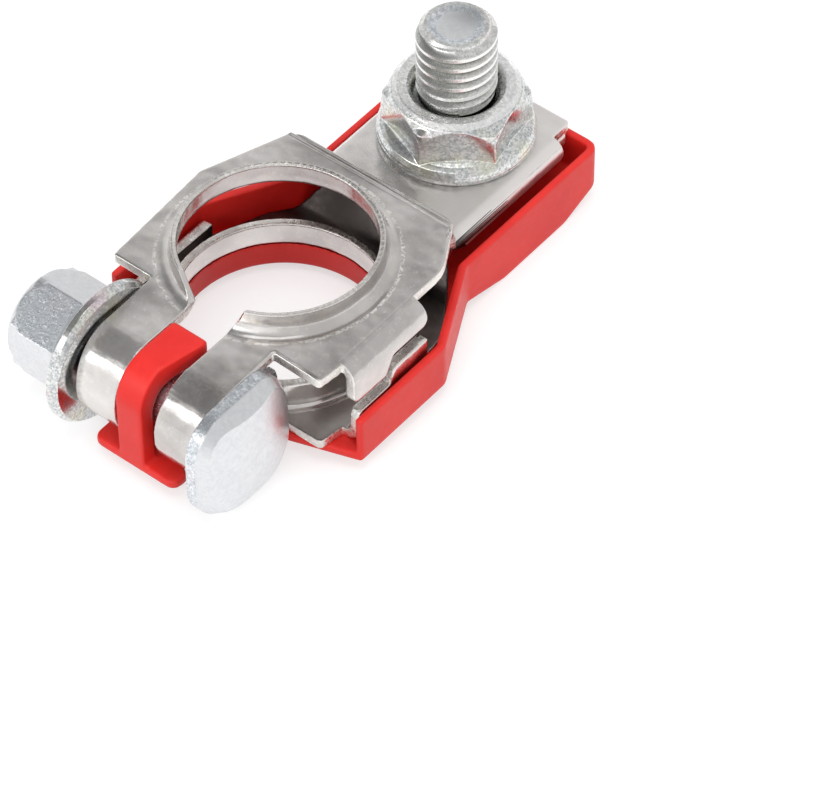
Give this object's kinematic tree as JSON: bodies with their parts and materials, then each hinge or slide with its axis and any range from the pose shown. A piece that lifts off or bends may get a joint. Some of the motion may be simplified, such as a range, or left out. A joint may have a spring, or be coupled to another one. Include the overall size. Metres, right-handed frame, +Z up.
{
  "type": "battery terminal clamp",
  "caption": "Battery terminal clamp of pressed steel: split post collars drawn together by a bolt and flange nut, an upright cable stud with flange nut, and a red plastic cover below.",
  "frame": {"origin": "on the axis of the battery post, at the middle of the lower collar's wall", "axes": "+X along the clamp bolt from its nut to its head, +Y from the jaws to the cable stud, +Z up along the cable stud"},
  "size_m": [0.0318, 0.058, 0.0224],
  "materials": {
    "tinned_steel": "satin tin plating with bright sheared edges",
    "zinc_steel": "bright speckled zinc plating",
    "red_plastic": "semi-gloss moulded plastic"
  },
  "bodies": {
    "clamp": {"clamp_body": "tinned_steel", "insulating_cover": "red_plastic", "cable_stud": "zinc_steel"},
    "clamp_bolt": {"t_bolt": "zinc_steel"},
    "clamp_nut": {"clamp_nut": "zinc_steel"},
    "cable_nut": {"cable_nut": "zinc_steel"}
  },
  "joints": [
    {"name": "clamp_nut_turn", "type": "hinge", "parent": "clamp", "child": "clamp_nut", "pos_m": [-0.00735, -0.0159, 0.00193], "axis": [-1, 0, 0], "range_deg": [0, 1440]},
    {"name": "clamp_bolt_slide", "type": "slide", "parent": "clamp", "child": "clamp_bolt", "axis": [1, 0, 0], "range_m": [0, 0.004]},
    {"name": "cable_nut_turn", "type": "hinge", "parent": "clamp", "child": "cable_nut", "pos_m": [0, 0.0263, 0.00272], "axis": [0, 0, 1], "continuous": true}
  ],
  "couplings": [
    {"joint": "clamp_bolt_slide", "follows": "clamp_nut_turn", "m_per_rad": 0.00015915}
  ]
}
